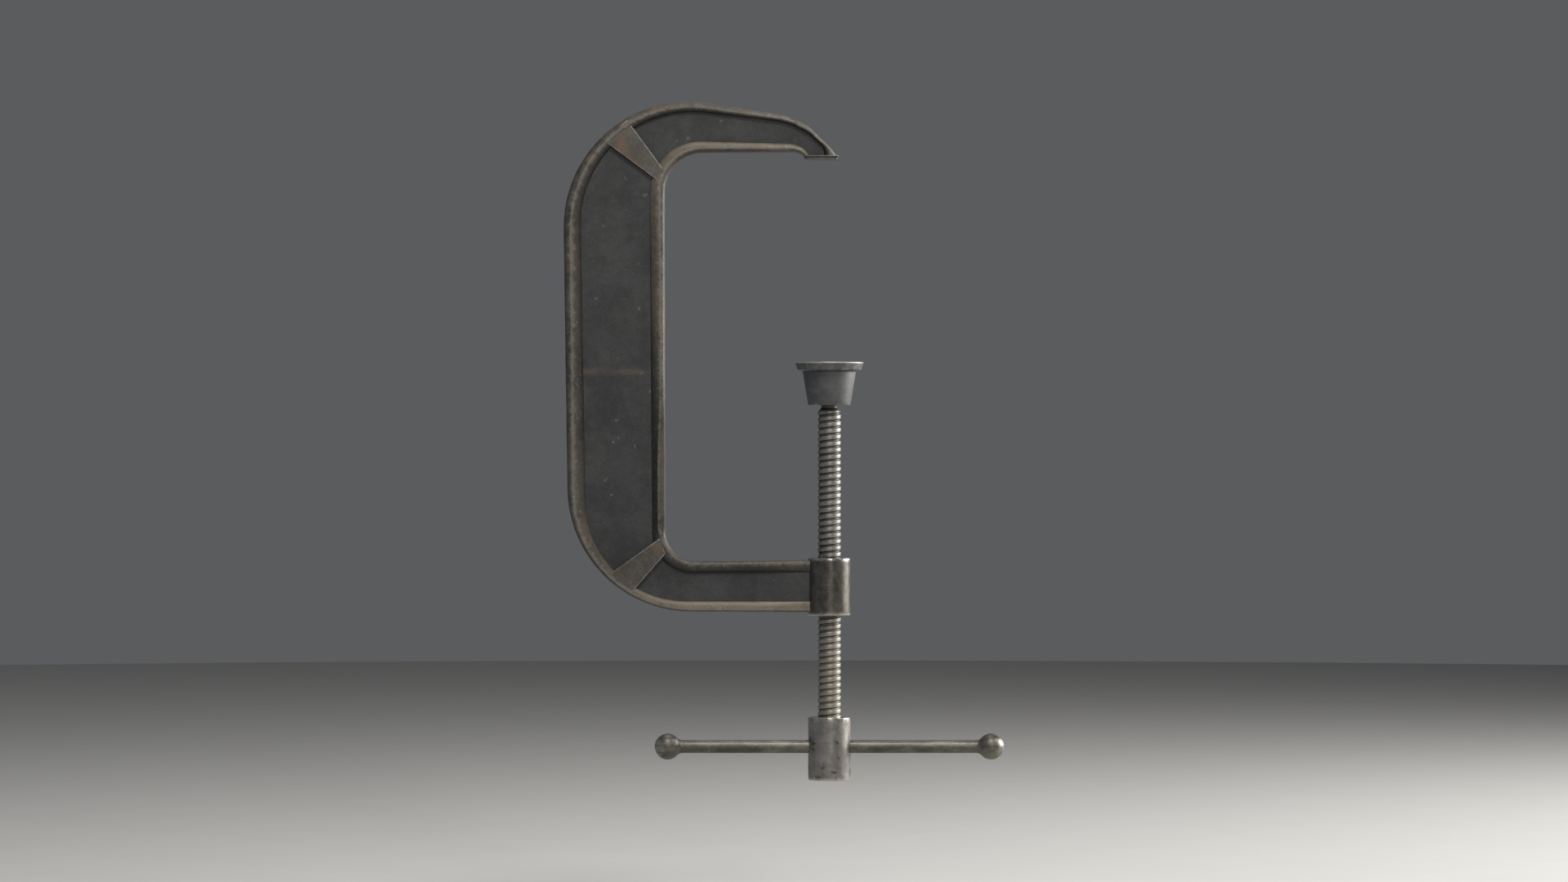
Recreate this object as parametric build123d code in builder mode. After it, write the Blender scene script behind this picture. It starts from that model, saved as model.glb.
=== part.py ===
from build123d import *
import os
from math import radians, tan

# A 200 mm G-clamp with a welded I-section frame, a shallow trapezoidal screw,
# a swivelling shoe and a sliding tommy bar. All lengths are in millimetres.
# +Z runs up the screw axis towards the anvil, +X points away from the spine,
# and the origin is on the anvil's clamping face, on the screw axis.
os.makedirs("parts", exist_ok=True)

# How far a cutting shape reaches past what it cuts
OVERSIZE = 1.0

# Frame: half depths along Y
RIM_HALF = 7.5
WEB_HALF = 4.5
GUSSET_THICKNESS = 2.7
RIM_EDGE_RADIUS = 1.3
RIM_BOSS_HALF = 5.5
RIM_TAPER_LENGTH = 26.0

# Frame: outline corners as (x, z), listed from the nose to the boss, and bend radii
ANVIL_THICKNESS = 2.3
SCREW_AXIS_X = 0.0
SPINE_BACK_TOP = (-163.9, 50.0)
SPINE_BACK_FOOT = (-159.2, -276.5)
SPINE_FRONT_TOP = (-100.7, 4.1)
SPINE_FRONT_FOOT = (-100.4, -246.0)
BACK_EDGE = [
    (5.7, ANVIL_THICKNESS),
    (-12.75, 20.2),
    (-24.75, 26.4),
    SPINE_BACK_TOP,
    SPINE_BACK_FOOT,
    (SCREW_AXIS_X, -277.0),
]
BACK_BENDS = [14, 40, 77, 76]
WEB_BACK_EDGE = [
    (-3.0, ANVIL_THICKNESS),
    (-3.6, 7.2),
    (-12.8, 15.9),
    (-26.25, 22.6),
    (-153.3, 37.7),
    (-148.1, -270.2),
    (SCREW_AXIS_X, -270.4),
]
WEB_BACK_BENDS = [3, 14, 40, 68, 62]
WEB_FRONT_EDGE = [
    (-11.5, ANVIL_THICKNESS),
    (-16.45, 7.15),
    (-22.85, 9.45),
    (-110.0, 11.6),
    (-108.2, -253.0),
    (SCREW_AXIS_X, -252.1),
]
WEB_FRONT_BENDS = [5, 12, 31, 25]
THROAT_EDGE = [
    (-15.3, ANVIL_THICKNESS),
    (-20.0, 4.5),
    SPINE_FRONT_TOP,
    SPINE_FRONT_FOOT,
    (SCREW_AXIS_X, -245.1),
]
THROAT_BENDS = [8, 24, 19]
WEB_SEAM_Z = -129.7

# Frame: gusset outlines as (x, z), the two corners on the outer rim first. The web
# plates meet in a mitre along the middle of each gusset
UPPER_GUSSET = [(-137.7, 11.1), (-123.6, 24.0), (-99.7, -8.4), (-102.8, -14.8)]
LOWER_GUSSET = [(-135.2, -254.1), (-120.6, -264.6), (-100.1, -241.1), (-103.6, -231.5)]

# Anvil pad: a plate that tapers from the arm down to the clamping face
ANVIL_LENGTH = 21.2
ANVIL_WIDTH = 19.0
ANVIL_FACE_LENGTH = 19.8
ANVIL_FACE_WIDTH = 17.8
ANVIL_CENTRE_X = -5.0
ANVIL_CORNER_RADIUS = 1.5

# Boss
BOSS_RADIUS = 13.0
BOSS_TOP_Z = -243.8
BOSS_LENGTH = 35.0
BOSS_CHAMFER = 0.5

# Screw thread: shallow trapezoidal, right hand, one start
PITCH = 4.0
THREAD_RADIUS = 7.0
THREAD_HEIGHT = 0.15 * PITCH
FLANK_ANGLE = radians(15)
CREST_WIDTH = 0.6 * PITCH
ROOT_GAP = 0.1
THREAD_CLEARANCE = 0.25
THREAD_OVERLAP = 0.2
SPARE_TURNS = 2  # swept past each end of a thread, then cut away
CORE_RADIUS = THREAD_RADIUS - THREAD_HEIGHT - ROOT_GAP
THREAD_TOP_Z = -152.0

# Spindle tip, with a cup for the ball and a groove for the snap ring
BALL_CENTRE_Z = -136.0
BALL_RADIUS = 4.0
BALL_GAP = 0.1
NECK_RADIUS = 5.0
TIP_TOP_Z = -137.0
TIP_CHAMFER = 0.5
RING_Z = -141.5
RING_WIRE_RADIUS = 1.1
RING_RADIUS = 5.7
RING_OPENING = 40.0
RING_GROOVE_RADIUS = 3.9
RING_GROOVE_GAP = 0.1

# Shoe
SHOE_FACE_Z = -124.0
SHOE_FACE_RADIUS = 21.0
SHOE_RIM_Z = -128.6
SHOE_RIM_RADIUS = 19.5
SHOE_STEP_Z = -129.75
SHOE_STEP_RADIUS = 16.35
SHOE_FOOT_Z = -150.3
SHOE_FOOT_RADIUS = 12.9
SPIGOT_RADIUS = 12.0
SPIGOT_HEIGHT = 2.75
SHOE_CEILING_Z = -134.6
SHOE_BORE_RADIUS = 6.2
SHOE_MOUTH_RADIUS = 7.0
SHOE_GROOVE_RADIUS = 7.8
SHOE_GROOVE_HALF = 2.1

# Head, cross pin and tommy bar
HEAD_RADIUS = 13.0
HEAD_TOP_Z = -341.2
HEAD_LENGTH = 38.4
HEAD_CHAMFER = 0.4
SHANK_RADIUS = 5.0
SHANK_END_Z = -353.0
PIN_RADIUS = 2.0
PIN_BORE_RADIUS = 1.2
PIN_SLOT = 0.8
PIN_Z = -347.2
PIN_INNER_Y = -7.0
PIN_OUTER_Y = 12.6
BAR_Z = -359.3
BAR_RADIUS = 4.0
BAR_HOLE_RADIUS = 4.15
BAR_LENGTH = 214.0
KNOB_RADIUS = 8.0
KNOB_SOCKET_RADIUS = 3.0
KNOB_SOCKET_DEPTH = 11.0
KNOB_FLARE_LENGTH = 9.2


def save(part, name):
    part.label = name
    export_step(part, f"parts/{name}.step")


def frame_band(edge, bends, other_edge, other_bends, half_depth, edge_radius=0.0):
    """A plate between two edges of the frame outline, ending on the boss."""
    with BuildPart() as band:
        with BuildSketch(Plane.XZ):
            with BuildLine():
                first = FilletPolyline(*edge, radius=bends)
                second = FilletPolyline(*other_edge, radius=other_bends)
                Line(first @ 0, second @ 0)
                Line(first @ 1, second @ 1)
            make_face()
        extrude(amount=half_depth, both=True)
        if edge_radius:
            faces = band.faces().sort_by(Axis.Y)
            fillet(faces[0].edges() + faces[-1].edges(), edge_radius)
            thin_towards_boss()
        with Locations((SCREW_AXIS_X, 0, BOSS_TOP_Z - BOSS_LENGTH / 2)):
            Cylinder(BOSS_RADIUS, BOSS_LENGTH + 2 * OVERSIZE, mode=Mode.SUBTRACT)
    return band


def thin_towards_boss():
    """Cuts the rim in hand back from both sides where it runs up to the boss."""
    thin_x = SCREW_AXIS_X - BOSS_RADIUS
    with BuildSketch(Plane.XY.offset(BOSS_TOP_Z - BOSS_LENGTH - OVERSIZE)) as side_cuts:
        with BuildLine():
            Polyline(
                (thin_x - RIM_TAPER_LENGTH, RIM_HALF),
                (thin_x, RIM_BOSS_HALF),
                (SCREW_AXIS_X, RIM_BOSS_HALF),
                (SCREW_AXIS_X, RIM_HALF + OVERSIZE),
                (thin_x - RIM_TAPER_LENGTH, RIM_HALF + OVERSIZE),
                close=True,
            )
        make_face()
        mirror(about=Plane.XZ)
    extrude(side_cuts.sketch, amount=BOSS_LENGTH + 2 * OVERSIZE, mode=Mode.SUBTRACT)


def web_band(half_depth):
    return frame_band(
        WEB_BACK_EDGE, WEB_BACK_BENDS, WEB_FRONT_EDGE, WEB_FRONT_BENDS, half_depth
    )


def make_rims():
    """Two bars bent round the back and the throat edge of the web."""
    outer_rim = frame_band(
        BACK_EDGE, BACK_BENDS, WEB_BACK_EDGE, WEB_BACK_BENDS, RIM_HALF, RIM_EDGE_RADIUS
    )
    save(outer_rim.part, "outer_rim")
    inner_rim = frame_band(
        WEB_FRONT_EDGE, WEB_FRONT_BENDS, THROAT_EDGE, THROAT_BENDS, RIM_HALF, RIM_EDGE_RADIUS
    )
    save(inner_rim.part, "inner_rim")


def mitre_plane(gusset):
    """The plane along the middle of a gusset, with its normal pointing up."""
    outer_middle = (Vector(*gusset[0]) + Vector(*gusset[1])) / 2
    inner_middle = (Vector(*gusset[2]) + Vector(*gusset[3])) / 2
    along = inner_middle - outer_middle
    return Plane(
        origin=(outer_middle.X, 0, outer_middle.Y),
        z_dir=(-along.Y, 0, along.X),
    )


def make_webs():
    """Four web plates: one in each arm and two butted together in the spine."""
    web = web_band(WEB_HALF)
    seam = Plane.XY.offset(WEB_SEAM_Z)
    upper_mitre = mitre_plane(UPPER_GUSSET)
    lower_mitre = mitre_plane(LOWER_GUSSET)

    with BuildPart() as upper_arm_web:
        add(web.part)
        split(bisect_by=upper_mitre, keep=Keep.TOP)
    save(upper_arm_web.part, "upper_arm_web")

    with BuildPart() as spine_web_upper:
        add(web.part)
        split(bisect_by=upper_mitre, keep=Keep.BOTTOM)
        split(bisect_by=seam, keep=Keep.TOP)
    save(spine_web_upper.part, "spine_web_upper")

    with BuildPart() as spine_web_lower:
        add(web.part)
        split(bisect_by=lower_mitre, keep=Keep.TOP)
        split(bisect_by=seam, keep=Keep.BOTTOM)
    save(spine_web_lower.part, "spine_web_lower")

    with BuildPart() as lower_arm_web:
        add(web.part)
        split(bisect_by=lower_mitre, keep=Keep.BOTTOM)
    save(lower_arm_web.part, "lower_arm_web")


def make_gussets():
    """Wedge plates over both mitres, on both faces of the web, between the rims."""
    between_rims = web_band(RIM_HALF)
    for corner, outline in (("upper", UPPER_GUSSET), ("lower", LOWER_GUSSET)):
        for side, outward in (("front", -1), ("back", 1)):
            with BuildPart() as gusset:
                with BuildSketch(Plane.XZ.offset(-outward * WEB_HALF)):
                    with BuildLine():
                        Polyline(*outline, close=True)
                    make_face()
                extrude(amount=GUSSET_THICKNESS, dir=(0, outward, 0))
                add(between_rims.part, mode=Mode.INTERSECT)
            save(gusset.part, f"{corner}_gusset_{side}")


def make_anvil_pad():
    """The hardened plate under the nose that the work is clamped against."""
    with BuildPart() as anvil_pad:
        with BuildSketch(Plane(origin=(ANVIL_CENTRE_X, 0, ANVIL_THICKNESS))):
            RectangleRounded(ANVIL_LENGTH, ANVIL_WIDTH, ANVIL_CORNER_RADIUS)
        with BuildSketch(Plane(origin=(ANVIL_CENTRE_X, 0, 0))):
            RectangleRounded(ANVIL_FACE_LENGTH, ANVIL_FACE_WIDTH, ANVIL_CORNER_RADIUS)
        loft()
    save(anvil_pad.part, "anvil_pad")


def thread_ridge(bottom_z, turns, base_radius, crest_radius, clearance):
    """One helical ridge. Ridges whose bottoms are whole pitches apart lie on one helix."""
    crest_half = CREST_WIDTH / 2 + clearance
    base_half = crest_half + (crest_radius - base_radius) * tan(FLANK_ANGLE)
    with BuildPart() as ridge:
        with BuildLine() as path:
            Helix(PITCH, turns * PITCH, base_radius, center=(0, 0, bottom_z))
        start = Plane(origin=path.line @ 0, x_dir=(1, 0, 0), z_dir=path.line % 0)
        with BuildSketch(start):
            with BuildLine():
                Polyline(
                    (0, -base_half),
                    (crest_radius - base_radius, -crest_half),
                    (crest_radius - base_radius, crest_half),
                    (0, base_half),
                    close=True,
                )
            make_face()
        sweep(path=path.line, is_frenet=True)
    return ridge


def make_boss():
    """The threaded boss at the end of the lower arm."""
    foot_z = BOSS_TOP_Z - BOSS_LENGTH
    minor_radius = THREAD_RADIUS - THREAD_HEIGHT + THREAD_CLEARANCE
    major_radius = THREAD_RADIUS + THREAD_CLEARANCE
    turns_below = round((foot_z - HEAD_TOP_Z) / PITCH) - SPARE_TURNS
    groove = thread_ridge(
        HEAD_TOP_Z + turns_below * PITCH,
        BOSS_LENGTH / PITCH + 2 * SPARE_TURNS,
        minor_radius - THREAD_OVERLAP,
        major_radius,
        THREAD_CLEARANCE,
    )
    with BuildPart() as screw_boss:
        with Locations((SCREW_AXIS_X, 0, foot_z)):
            Cylinder(BOSS_RADIUS, BOSS_LENGTH, align=(Align.CENTER, Align.CENTER, Align.MIN))
        chamfer(screw_boss.edges().filter_by(GeomType.CIRCLE), BOSS_CHAMFER)
        with Locations((SCREW_AXIS_X, 0, BOSS_TOP_Z - BOSS_LENGTH / 2)):
            Cylinder(minor_radius, BOSS_LENGTH, mode=Mode.SUBTRACT)
        add(groove.part, mode=Mode.SUBTRACT)
        mouth = major_radius - minor_radius + THREAD_CLEARANCE
        with Locations((SCREW_AXIS_X, 0, BOSS_TOP_Z - mouth / 2)):
            Cone(minor_radius, minor_radius + mouth, mouth, mode=Mode.SUBTRACT)
        with Locations((SCREW_AXIS_X, 0, foot_z + mouth / 2)):
            Cone(minor_radius + mouth, minor_radius, mouth, mode=Mode.SUBTRACT)
    save(screw_boss.part, "screw_boss")


def make_spindle():
    """The screw, with a plain tip for the shoe and a plain shank for the head."""
    thread_length = THREAD_TOP_Z - HEAD_TOP_Z
    start_z = HEAD_TOP_Z - SPARE_TURNS * PITCH
    thread = thread_ridge(
        start_z,
        thread_length / PITCH + 2 * SPARE_TURNS,
        CORE_RADIUS - THREAD_OVERLAP,
        THREAD_RADIUS,
        0,
    )
    end_chamfer = THREAD_RADIUS - NECK_RADIUS
    with BuildPart() as spindle:
        with Locations((0, 0, start_z)):
            Cylinder(
                CORE_RADIUS,
                thread_length + 2 * SPARE_TURNS * PITCH,
                align=(Align.CENTER, Align.CENTER, Align.MIN),
            )
        add(thread.part)
        with BuildSketch(Plane.XZ, mode=Mode.PRIVATE) as envelope:
            with BuildLine():
                Polyline(
                    (0, HEAD_TOP_Z),
                    (THREAD_RADIUS + OVERSIZE, HEAD_TOP_Z),
                    (THREAD_RADIUS + OVERSIZE, THREAD_TOP_Z - end_chamfer - OVERSIZE),
                    (NECK_RADIUS, THREAD_TOP_Z),
                    (0, THREAD_TOP_Z),
                    close=True,
                )
            make_face()
        revolve(envelope.sketch, axis=Axis.Z, mode=Mode.INTERSECT)
        with BuildSketch(Plane.XZ) as tip:
            with BuildLine():
                Polyline(
                    (0, THREAD_TOP_Z - OVERSIZE),
                    (NECK_RADIUS, THREAD_TOP_Z - OVERSIZE),
                    (NECK_RADIUS, RING_Z - RING_WIRE_RADIUS - RING_GROOVE_GAP),
                    (RING_GROOVE_RADIUS, RING_Z - RING_WIRE_RADIUS - RING_GROOVE_GAP),
                    (RING_GROOVE_RADIUS, RING_Z + RING_WIRE_RADIUS + RING_GROOVE_GAP),
                    (NECK_RADIUS, RING_Z + RING_WIRE_RADIUS + RING_GROOVE_GAP),
                    (NECK_RADIUS, TIP_TOP_Z - TIP_CHAMFER),
                    (NECK_RADIUS - TIP_CHAMFER, TIP_TOP_Z),
                    (0, TIP_TOP_Z),
                    close=True,
                )
            make_face()
        revolve(tip.sketch, axis=Axis.Z)
        with Locations((0, 0, BALL_CENTRE_Z)):
            Sphere(BALL_RADIUS + BALL_GAP, mode=Mode.SUBTRACT)
        with Locations((0, 0, SHANK_END_Z)):
            Cylinder(
                SHANK_RADIUS,
                HEAD_TOP_Z - SHANK_END_Z,
                align=(Align.CENTER, Align.CENTER, Align.MIN),
            )
        cut_pin_hole()
    save(spindle.part, "spindle")


def cut_pin_hole():
    """Cuts the cross pin's blind hole from the part in hand."""
    with Locations(Plane(origin=(0, PIN_INNER_Y, PIN_Z), z_dir=(0, 1, 0))):
        Cylinder(
            PIN_RADIUS,
            HEAD_RADIUS * 2,
            align=(Align.CENTER, Align.CENTER, Align.MIN),
            mode=Mode.SUBTRACT,
        )


def make_head():
    """The head that carries the tommy bar, with the cross pin that holds it."""
    foot_z = HEAD_TOP_Z - HEAD_LENGTH
    with BuildPart() as spindle_head:
        with Locations((0, 0, foot_z)):
            Cylinder(HEAD_RADIUS, HEAD_LENGTH, align=(Align.CENTER, Align.CENTER, Align.MIN))
        chamfer(spindle_head.edges().filter_by(GeomType.CIRCLE), HEAD_CHAMFER)
        with Locations((0, 0, SHANK_END_Z)):
            Cylinder(
                SHANK_RADIUS,
                HEAD_TOP_Z - SHANK_END_Z,
                align=(Align.CENTER, Align.CENTER, Align.MIN),
                mode=Mode.SUBTRACT,
            )
        with Locations(Plane(origin=(0, 0, BAR_Z), z_dir=(1, 0, 0))):
            Cylinder(BAR_HOLE_RADIUS, 2 * (HEAD_RADIUS + OVERSIZE), mode=Mode.SUBTRACT)
        cut_pin_hole()
    save(spindle_head.part, "spindle_head")

    with BuildPart() as head_pin:
        with BuildSketch(Plane(origin=(0, PIN_INNER_Y, PIN_Z), z_dir=(0, 1, 0))):
            Circle(PIN_RADIUS)
            Circle(PIN_BORE_RADIUS, mode=Mode.SUBTRACT)
            Rectangle(
                PIN_SLOT,
                PIN_RADIUS + OVERSIZE,
                align=(Align.CENTER, Align.MIN),
                mode=Mode.SUBTRACT,
            )
        extrude(amount=PIN_OUTER_Y - PIN_INNER_Y)
    save(head_pin.part, "head_pin")


def make_tommy_bar():
    """The sliding bar, with a spigot at each end, and the two ball knobs."""
    knob_face_x = BAR_LENGTH / 2 - KNOB_RADIUS - KNOB_FLARE_LENGTH
    with BuildPart() as tommy_bar:
        with BuildSketch(Plane.YZ.offset(-knob_face_x)):
            with Locations((0, BAR_Z)):
                Circle(BAR_RADIUS)
        extrude(amount=2 * knob_face_x)
        spigot_end_x = knob_face_x + KNOB_SOCKET_DEPTH
        with BuildSketch(Plane.YZ.offset(-spigot_end_x)):
            with Locations((0, BAR_Z)):
                Circle(KNOB_SOCKET_RADIUS)
        extrude(amount=2 * spigot_end_x)
    save(tommy_bar.part, "tommy_bar")

    ball_x = BAR_LENGTH / 2 - KNOB_RADIUS
    flare_radius = (KNOB_FLARE_LENGTH**2 - KNOB_RADIUS**2 + BAR_RADIUS**2) / (
        2 * (KNOB_RADIUS - BAR_RADIUS)
    )
    centres = Vector(-KNOB_FLARE_LENGTH, BAR_RADIUS + flare_radius)
    meeting = Vector(ball_x, 0) + centres.normalized() * KNOB_RADIUS
    for side, end in (("left", -1), ("right", 1)):
        with BuildPart() as knob:
            with BuildSketch(Plane(origin=(0, 0, BAR_Z), x_dir=(end, 0, 0), z_dir=(0, -end, 0))):
                with BuildLine():
                    small_end = Line((knob_face_x, 0), (knob_face_x, BAR_RADIUS))
                    RadiusArc(small_end @ 1, (meeting.X, meeting.Y), flare_radius)
                    RadiusArc(
                        (meeting.X, meeting.Y), (ball_x + KNOB_RADIUS, 0), KNOB_RADIUS
                    )
                    Line((ball_x + KNOB_RADIUS, 0), small_end @ 0)
                make_face()
            revolve(axis=Axis((0, 0, BAR_Z), (1, 0, 0)))
            with Locations(Plane(origin=(end * knob_face_x, 0, BAR_Z), z_dir=(end, 0, 0))):
                Cylinder(
                    KNOB_SOCKET_RADIUS,
                    KNOB_SOCKET_DEPTH,
                    align=(Align.CENTER, Align.CENTER, Align.MIN),
                    mode=Mode.SUBTRACT,
                )
        save(knob.part, f"tommy_knob_{side}")


def make_shoe():
    """The swivelling shoe: a cup pressed into the disc that bears on the work."""
    with BuildPart() as shoe_face:
        with BuildSketch(Plane.XZ):
            with BuildLine():
                Polyline(
                    (0, SHOE_FACE_Z),
                    (SHOE_FACE_RADIUS, SHOE_FACE_Z),
                    (SHOE_RIM_RADIUS, SHOE_RIM_Z),
                    (SHOE_STEP_RADIUS, SHOE_STEP_Z),
                    (SPIGOT_RADIUS, SHOE_STEP_Z),
                    (SPIGOT_RADIUS, SHOE_STEP_Z + SPIGOT_HEIGHT),
                    (0, SHOE_STEP_Z + SPIGOT_HEIGHT),
                    close=True,
                )
            make_face()
        revolve(axis=Axis.Z)
    save(shoe_face.part, "shoe_face")

    groove_foot_z = RING_Z - SHOE_GROOVE_HALF
    groove_top_z = RING_Z + SHOE_GROOVE_HALF
    with BuildPart() as shoe_body:
        with BuildSketch(Plane.XZ):
            with BuildLine():
                Polyline(
                    (0, SHOE_STEP_Z + SPIGOT_HEIGHT),
                    (SPIGOT_RADIUS, SHOE_STEP_Z + SPIGOT_HEIGHT),
                    (SPIGOT_RADIUS, SHOE_STEP_Z),
                    (SHOE_STEP_RADIUS, SHOE_STEP_Z),
                    (SHOE_FOOT_RADIUS, SHOE_FOOT_Z),
                    (SHOE_MOUTH_RADIUS, SHOE_FOOT_Z),
                    (SHOE_BORE_RADIUS, groove_foot_z),
                    (SHOE_GROOVE_RADIUS, groove_foot_z),
                    (SHOE_GROOVE_RADIUS, groove_top_z),
                    (SHOE_BORE_RADIUS, groove_top_z),
                    (SHOE_BORE_RADIUS, SHOE_CEILING_Z),
                    (0, SHOE_CEILING_Z),
                    close=True,
                )
            make_face()
        revolve(axis=Axis.Z)
        with Locations((0, 0, BALL_CENTRE_Z)):
            Sphere(BALL_RADIUS + BALL_GAP, mode=Mode.SUBTRACT)
    save(shoe_body.part, "shoe_body")


def make_swivel():
    """The ball between tip and shoe, and the open ring that keeps the shoe on."""
    with BuildPart() as thrust_ball:
        with Locations((0, 0, BALL_CENTRE_Z)):
            Sphere(BALL_RADIUS)
    save(thrust_ball.part, "thrust_ball")

    with BuildPart() as snap_ring:
        ring_plane = Plane.XY.offset(RING_Z)
        with BuildLine(ring_plane) as ring_path:
            CenterArc((0, 0), RING_RADIUS, RING_OPENING / 2, 360 - RING_OPENING)
        with BuildSketch(Plane(origin=ring_path.line @ 0, z_dir=ring_path.line % 0)):
            Circle(RING_WIRE_RADIUS)
        sweep(path=ring_path.line)
    save(snap_ring.part, "snap_ring")


make_rims()
make_webs()
make_gussets()
make_anvil_pad()
make_boss()
make_spindle()
make_head()
make_tommy_bar()
make_shoe()
make_swivel()
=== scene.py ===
from math import ceil, cos, pi, radians, sin, sqrt, tan

import bmesh
import bpy
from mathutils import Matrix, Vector, noise


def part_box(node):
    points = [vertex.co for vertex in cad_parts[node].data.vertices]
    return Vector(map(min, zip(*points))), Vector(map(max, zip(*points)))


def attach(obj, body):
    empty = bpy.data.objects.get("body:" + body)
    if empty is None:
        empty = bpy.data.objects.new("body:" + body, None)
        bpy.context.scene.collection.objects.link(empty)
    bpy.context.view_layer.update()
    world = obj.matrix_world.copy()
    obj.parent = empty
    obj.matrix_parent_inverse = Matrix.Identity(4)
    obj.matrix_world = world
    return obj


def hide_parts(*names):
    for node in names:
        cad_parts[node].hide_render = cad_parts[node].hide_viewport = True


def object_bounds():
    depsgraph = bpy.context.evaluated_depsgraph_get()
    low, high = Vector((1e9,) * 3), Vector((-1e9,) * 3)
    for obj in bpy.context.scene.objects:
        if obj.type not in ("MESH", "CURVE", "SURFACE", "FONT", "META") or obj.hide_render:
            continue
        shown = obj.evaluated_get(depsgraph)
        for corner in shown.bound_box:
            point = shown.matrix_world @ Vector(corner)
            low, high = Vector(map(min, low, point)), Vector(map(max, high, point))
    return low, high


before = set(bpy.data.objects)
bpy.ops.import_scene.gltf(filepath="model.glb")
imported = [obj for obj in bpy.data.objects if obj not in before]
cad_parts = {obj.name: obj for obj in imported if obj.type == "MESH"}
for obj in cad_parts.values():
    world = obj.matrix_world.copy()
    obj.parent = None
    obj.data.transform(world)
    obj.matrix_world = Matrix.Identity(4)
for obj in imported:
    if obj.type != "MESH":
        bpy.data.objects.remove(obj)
cad_low, cad_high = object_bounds()

# Shapes are worked out in millimetres and written in metres.
MM = 0.001


def size(node):
    """A CAD node's lowest and highest corner, in millimetres."""
    low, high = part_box(node)
    return low / MM, high / MM


def add(name, data):
    """Adds an object to the scene."""
    obj = bpy.data.objects.new(name, data)
    bpy.context.scene.collection.objects.link(obj)
    return obj


def add_mesh(name, mesh):
    """Adds an object made from a bmesh to the scene."""
    data = bpy.data.meshes.new(name)
    mesh.to_mesh(data)
    mesh.free()
    return add(name, data)


# ---------------------------------------------------------------- shapes of outlines

BEND_STEPS = 24  # in the bends of the frame's outlines


def bend(before, corner, after, radius, steps=BEND_STEPS):
    """The points that round a corner off."""
    arriving = (corner - before).normalized()
    leaving = (after - corner).normalized()
    turn = arriving.angle(leaving)
    if radius == 0 or turn < radians(1):
        return [corner.copy()]
    start = corner - arriving * radius * tan(turn / 2)
    end = corner + leaving * radius * tan(turn / 2)
    centre = corner + (leaving - arriving).normalized() * (radius / cos(turn / 2))
    return [
        centre + ((start - centre) * sin((1 - i / steps) * turn)
                  + (end - centre) * sin(i / steps * turn)) / sin(turn)
        for i in range(steps + 1)
    ]


def runs(corners, radii):
    """An outline with rounded corners, cut in the middle of each bend."""
    corners = [Vector(c) for c in corners]
    run = [corners[0]]
    for before, corner, after, radius in zip(corners, corners[1:], corners[2:], radii):
        arc = bend(before, corner, after, radius)
        middle = len(arc) // 2
        yield run + arc[: middle + 1]
        run = arc[middle:]
    yield run + [corners[-1]]


def length(points):
    return sum((b - a).length for a, b in zip(points, points[1:]))


def spread(points, count):
    """Count equal steps along a line, without its last point."""
    step, walked, out = length(points) / count, 0.0, []
    for a, b in zip(points, points[1:]):
        reach = (b - a).length
        while len(out) < count and len(out) * step <= walked + reach + 1e-9:
            share = (len(out) * step - walked) / reach if reach else 0
            out.append(a.lerp(b, share))
        walked += reach
    return out


def stations(edge, bends, other_edge, other_bends, spacing):
    """Matching points along two edges of a band."""
    pairs = []
    for run, other in zip(runs(edge, bends), runs(other_edge, other_bends)):
        count = ceil(max(length(run), length(other)) / spacing)
        pairs += zip(spread(run, count), spread(other, count))
    return pairs + [(Vector(edge[-1]), Vector(other_edge[-1]))]


# ---------------------------------------------------------------- meshes

SHARP = radians(32)  # edges sharper than this stay sharp
EDGE_STEPS = 4  # in the rounded edge of a turned shape
TURN_STEPS = 128  # round a wide turned shape
SLIM_STEPS = 96  # round a slim one


def piece(name, body, slot, finish, points, faces, node, **marks):
    """Makes a mesh piece from points in millimetres, in place of a CAD node. Marks are its
    wear, its grime and painted shade, and its dust and painted highlight."""
    mesh = bpy.data.meshes.new(name)
    mesh.from_pydata([Vector(p) * MM for p in points], [], faces)
    for mark, values in marks.items():
        attribute = mesh.attributes.new(mark, "FLOAT", "POINT")
        attribute.data.foreach_set("value", values)
    obj = add(name, mesh)
    smooth(obj)
    mesh.materials.append(finish)
    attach(obj, body)
    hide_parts(node)
    return obj


def smooth(obj):
    """Turns all faces outward and smooths them up to the sharp angle."""
    mesh = bmesh.new()
    mesh.from_mesh(obj.data)
    bmesh.ops.recalc_face_normals(mesh, faces=mesh.faces)
    mesh.to_mesh(obj.data)
    mesh.free()
    obj.data.shade_smooth()
    obj.data.set_sharp_from_angle(angle=SHARP)


def tube(rings):
    """Points and faces of a closed tube through rings that all have as many points."""
    count = len(rings[0])
    points = [p for ring in rings for p in ring]
    faces = [
        (i * count + j, i * count + (j + 1) % count,
         (i + 1) * count + (j + 1) % count, (i + 1) * count + j)
        for i in range(len(rings) - 1) for j in range(count)
    ]
    faces += [tuple(range(count)), tuple(range(len(points) - count, len(points)))]
    return points, faces


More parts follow.
